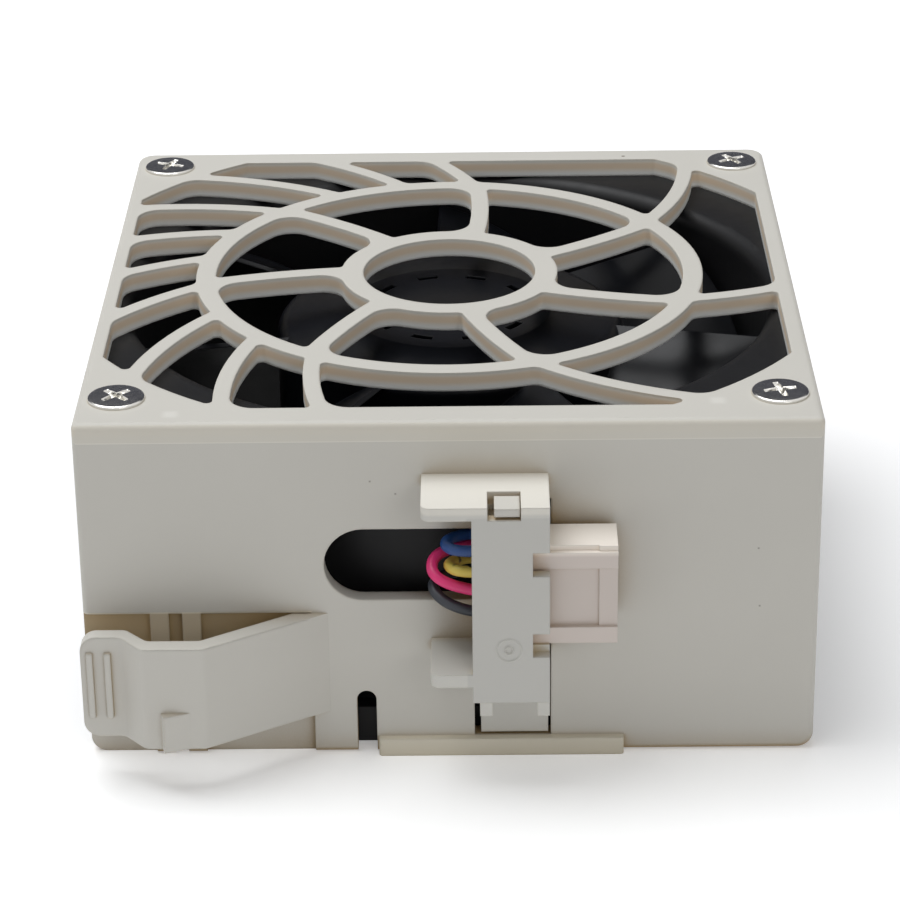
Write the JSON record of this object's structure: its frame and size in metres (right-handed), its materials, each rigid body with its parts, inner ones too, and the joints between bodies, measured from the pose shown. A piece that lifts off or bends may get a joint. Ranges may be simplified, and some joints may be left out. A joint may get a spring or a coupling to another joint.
{
  "type": "server fan module",
  "caption": "Hot-swap server fan module: axial fan under a swirl grille, with connector wall, finger latch and plug-in lead connector.",
  "frame": {"origin": "on the fan axis, in the exhaust face that carries the rear hole pattern", "axes": "+Z along the fan axis towards the air intake and the grille, -Y out of the connector wall, +X to the right of that wall"},
  "size_m": [0.08, 0.0926, 0.0407],
  "materials": {
    "housing_plastic": "fine matte moulded beige plastic",
    "black_plastic": "semi-matte black moulded plastic",
    "impeller_plastic": "glossy black moulded plastic",
    "nickel_steel": "bright nickel-plated steel",
    "cream_plastic": "satin cream moulded plastic",
    "connector_plastic": "pinkish white semi-gloss nylon",
    "tin_plate": "tin-plated bronze",
    "blue_pvc": "blue insulation, satin gloss",
    "yellow_pvc": "yellow insulation, satin gloss",
    "red_pvc": "red insulation, satin gloss",
    "black_pvc": "black insulation, satin gloss",
    "yoke_steel": "drawn zinc-plated steel",
    "ferrite": "dark bonded ferrite",
    "ground_steel": "ground bearing steel",
    "brass_tube": "turned brass",
    "core_steel": "stacked silicon steel",
    "insulator_plastic": "off-white nylon",
    "copper": "enamelled copper wire",
    "board_green": "green solder resist"
  },
  "bodies": {
    "module": {"housing": "housing_plastic", "fan_frame": "black_plastic", "screws": "nickel_steel", "connector_bracket": "cream_plastic", "connector_housing": "connector_plastic", "contacts": "tin_plate", "wire_blue": "blue_pvc", "wire_yellow": "yellow_pvc", "wire_red": "red_pvc", "wire_black": "black_pvc", "bearing_tube": "brass_tube", "lower_bearing_outer_ring": "ground_steel", "upper_bearing_outer_ring": "ground_steel", "stator_core": "core_steel", "stator_insulator": "insulator_plastic", "stator_windings": "copper", "circuit_board": "board_green"},
    "rotor": {"impeller": "impeller_plastic", "rotor_yoke": "yoke_steel", "rotor_magnet": "ferrite", "shaft": "ground_steel", "retaining_ring": "ground_steel", "preload_spring": "ground_steel", "lower_bearing_inner_ring": "ground_steel", "upper_bearing_inner_ring": "ground_steel"},
    "bearing_balls": {"lower_bearing_balls": "ground_steel", "upper_bearing_balls": "ground_steel"},
    "latch": {"latch_arm": "housing_plastic"}
  },
  "joints": [
    {"name": "impeller_spin", "type": "hinge", "parent": "module", "child": "rotor", "pos_m": [0, 0, 0.015], "axis": [0, 0, 1], "continuous": true},
    {"name": "ball_orbit", "type": "hinge", "parent": "module", "child": "bearing_balls", "pos_m": [0, 0, 0.015], "axis": [0, 0, 1], "continuous": true},
    {"name": "latch_flex", "type": "hinge", "parent": "module", "child": "latch", "pos_m": [-0.0151, -0.0425, 0.0114], "axis": [0, 0, -1], "range_deg": [0, 8], "stiffness_Nm_per_rad": 1.5}
  ],
  "couplings": [
    {"joint": "ball_orbit", "follows": "impeller_spin", "ratio": 0.3545}
  ]
}
